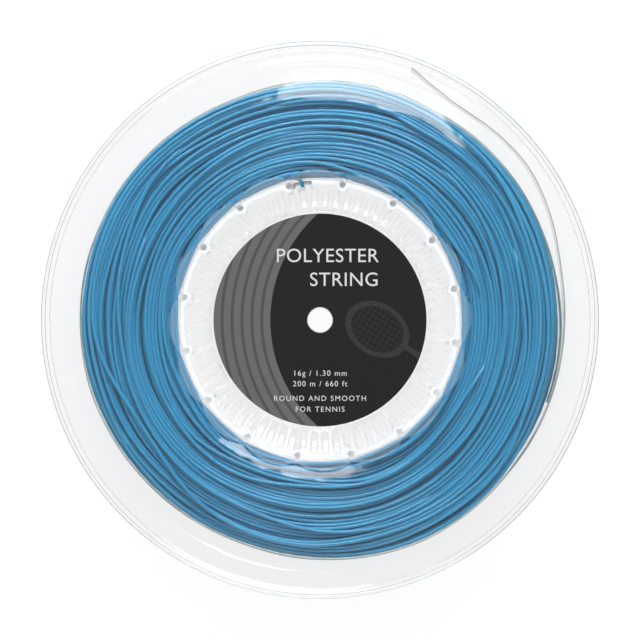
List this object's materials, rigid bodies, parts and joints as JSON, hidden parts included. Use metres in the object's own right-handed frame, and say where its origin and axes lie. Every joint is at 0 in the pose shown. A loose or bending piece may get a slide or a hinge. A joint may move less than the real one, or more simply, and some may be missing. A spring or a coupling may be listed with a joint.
{
  "type": "string reel",
  "caption": "Clear round spool wound with racket string, with convex flanges, a fluted ring round a dark label, and a loose end of clear wrap film.",
  "frame": {"origin": "middle of the spindle bore, on its axis, half way between the two flanges", "axes": "+Z along the spindle bore, out of the front flange, +Y towards the drum's string slot, +X towards the loose end of the wrap film"},
  "size_m": [0.18, 0.18, 0.036],
  "materials": {
    "clear_plastic": "clear, glossy, injection moulded",
    "label": "printed paper sticker, satin",
    "string": "smooth, glossy polyester",
    "film": "clear, thin, glossy film"
  },
  "bodies": {
    "drum": {"core_drum": "clear_plastic", "string_winding": "string", "string_start": "string", "string_end": "string", "wrap_film": "film"},
    "front": {"front_flange": "clear_plastic", "front_label": "label"},
    "rear": {"rear_flange": "clear_plastic", "rear_label": "label"}
  },
  "joints": [
    {"name": "front_flange_pull", "type": "slide", "parent": "drum", "child": "front", "axis": [0, 0, 1], "range_m": [0, 0.04]},
    {"name": "rear_flange_pull", "type": "slide", "parent": "drum", "child": "rear", "axis": [0, 0, -1], "range_m": [0, 0.04]}
  ]
}
